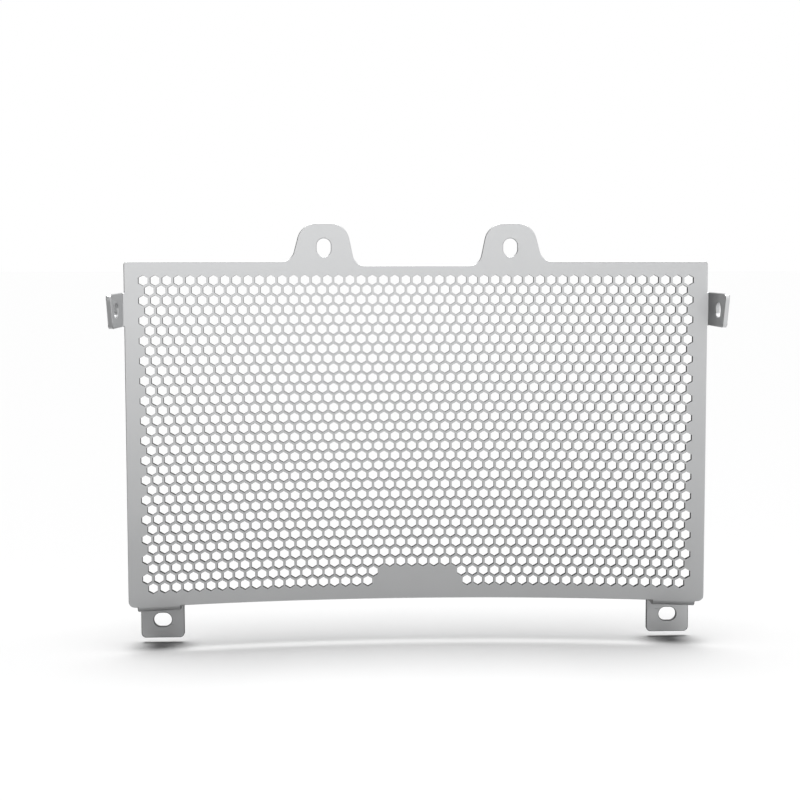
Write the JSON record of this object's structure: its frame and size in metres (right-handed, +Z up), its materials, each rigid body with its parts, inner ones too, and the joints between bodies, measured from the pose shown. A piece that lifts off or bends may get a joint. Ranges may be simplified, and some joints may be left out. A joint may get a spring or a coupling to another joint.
{
  "type": "motorcycle radiator guard",
  "caption": "Rolled and folded aluminium sheet with a mesh of hexagonal holes, fixed in front of a curved radiator by slotted lugs and tabs.",
  "frame": {"origin": "halfway between the two slots of the lower tabs, on the tabs' rear faces, where they meet their brackets", "axes": "+X to the right as seen from the front, +Y to the rear, towards the radiator and out of the lower tabs' rear faces, +Z up"},
  "size_m": [0.3698, 0.0654, 0.2623],
  "materials": {
    "sheet": "satin, fine bead blasted and clear anodised"
  },
  "bodies": {
    "root": {"guard_sheet": "sheet"}
  },
  "joints": []
}
